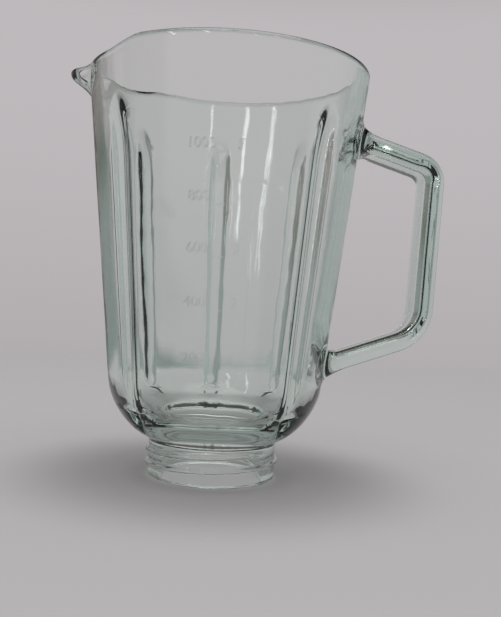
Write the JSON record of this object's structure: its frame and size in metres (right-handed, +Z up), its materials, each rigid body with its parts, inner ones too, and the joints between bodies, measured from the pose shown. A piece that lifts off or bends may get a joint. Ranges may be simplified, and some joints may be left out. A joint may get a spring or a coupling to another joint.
{
  "type": "blender jar",
  "caption": "Tapered clear glass jar for a kitchen blender, with a pouring spout, a closed handle, inner ribs and a threaded collar that is open at the bottom.",
  "frame": {"origin": "centre of the neck bore at the bottom edge of the collar", "axes": "+Z up along the jar's axis, +X towards the handle, -X towards the spout"},
  "size_m": [0.182, 0.1344, 0.1965],
  "materials": {
    "glass": "fire polished"
  },
  "bodies": {
    "root": {"jar": "glass"}
  },
  "joints": []
}
